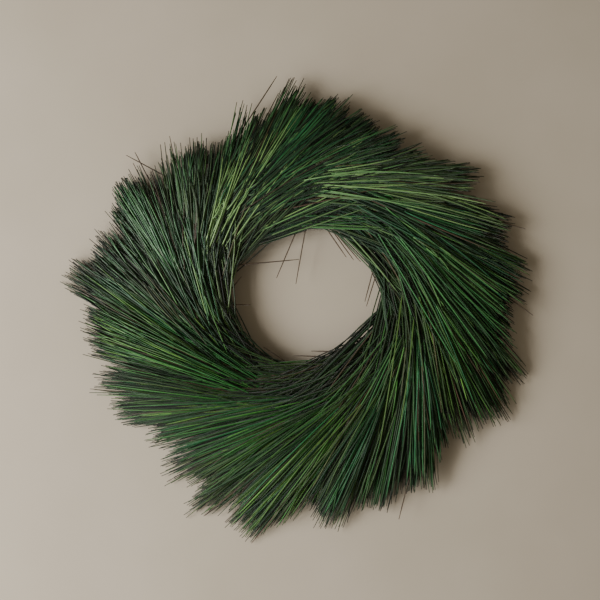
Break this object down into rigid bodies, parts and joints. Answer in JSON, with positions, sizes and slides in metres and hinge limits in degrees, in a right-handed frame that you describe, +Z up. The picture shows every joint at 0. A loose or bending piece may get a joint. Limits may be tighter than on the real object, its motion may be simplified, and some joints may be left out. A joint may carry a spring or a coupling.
{
  "type": "fresh evergreen wreath",
  "caption": "Round fresh evergreen wreath of long pine needles, bound in overlapping bundles to a wire hoop, all leaning clockwise.",
  "frame": {"origin": "under the middle of the wreath's box, on the surface that it lies on", "axes": "+Z up out of the front face, +Y towards the top of the wreath as it hangs, +X to the right seen from the front"},
  "size_m": [0.5424, 0.5294, 0.0548],
  "materials": {
    "pine_cool": "grey-green pine needles, waxy",
    "pine_deep": "deep green pine needles, waxy",
    "pine_bright": "bright green pine needles, waxy",
    "hoop_wire": "dark green paint on steel wire",
    "tie_wire": "green paint on thin florist's wire"
  },
  "bodies": {
    "root": {"hoop": "hoop_wire", "binding_wire": "tie_wire", "bundle_01": "pine_deep", "bundle_02": "pine_deep", "bundle_03": "pine_bright", "bundle_04": "pine_deep", "bundle_05": "pine_bright", "bundle_06": "pine_bright", "bundle_07": "pine_bright", "bundle_08": "pine_bright", "bundle_09": "pine_bright", "bundle_10": "pine_cool", "bundle_11": "pine_cool", "bundle_12": "pine_cool", "bundle_13": "pine_cool", "bundle_14": "pine_deep", "bundle_15": "pine_cool", "bundle_16": "pine_cool"}
  },
  "joints": []
}
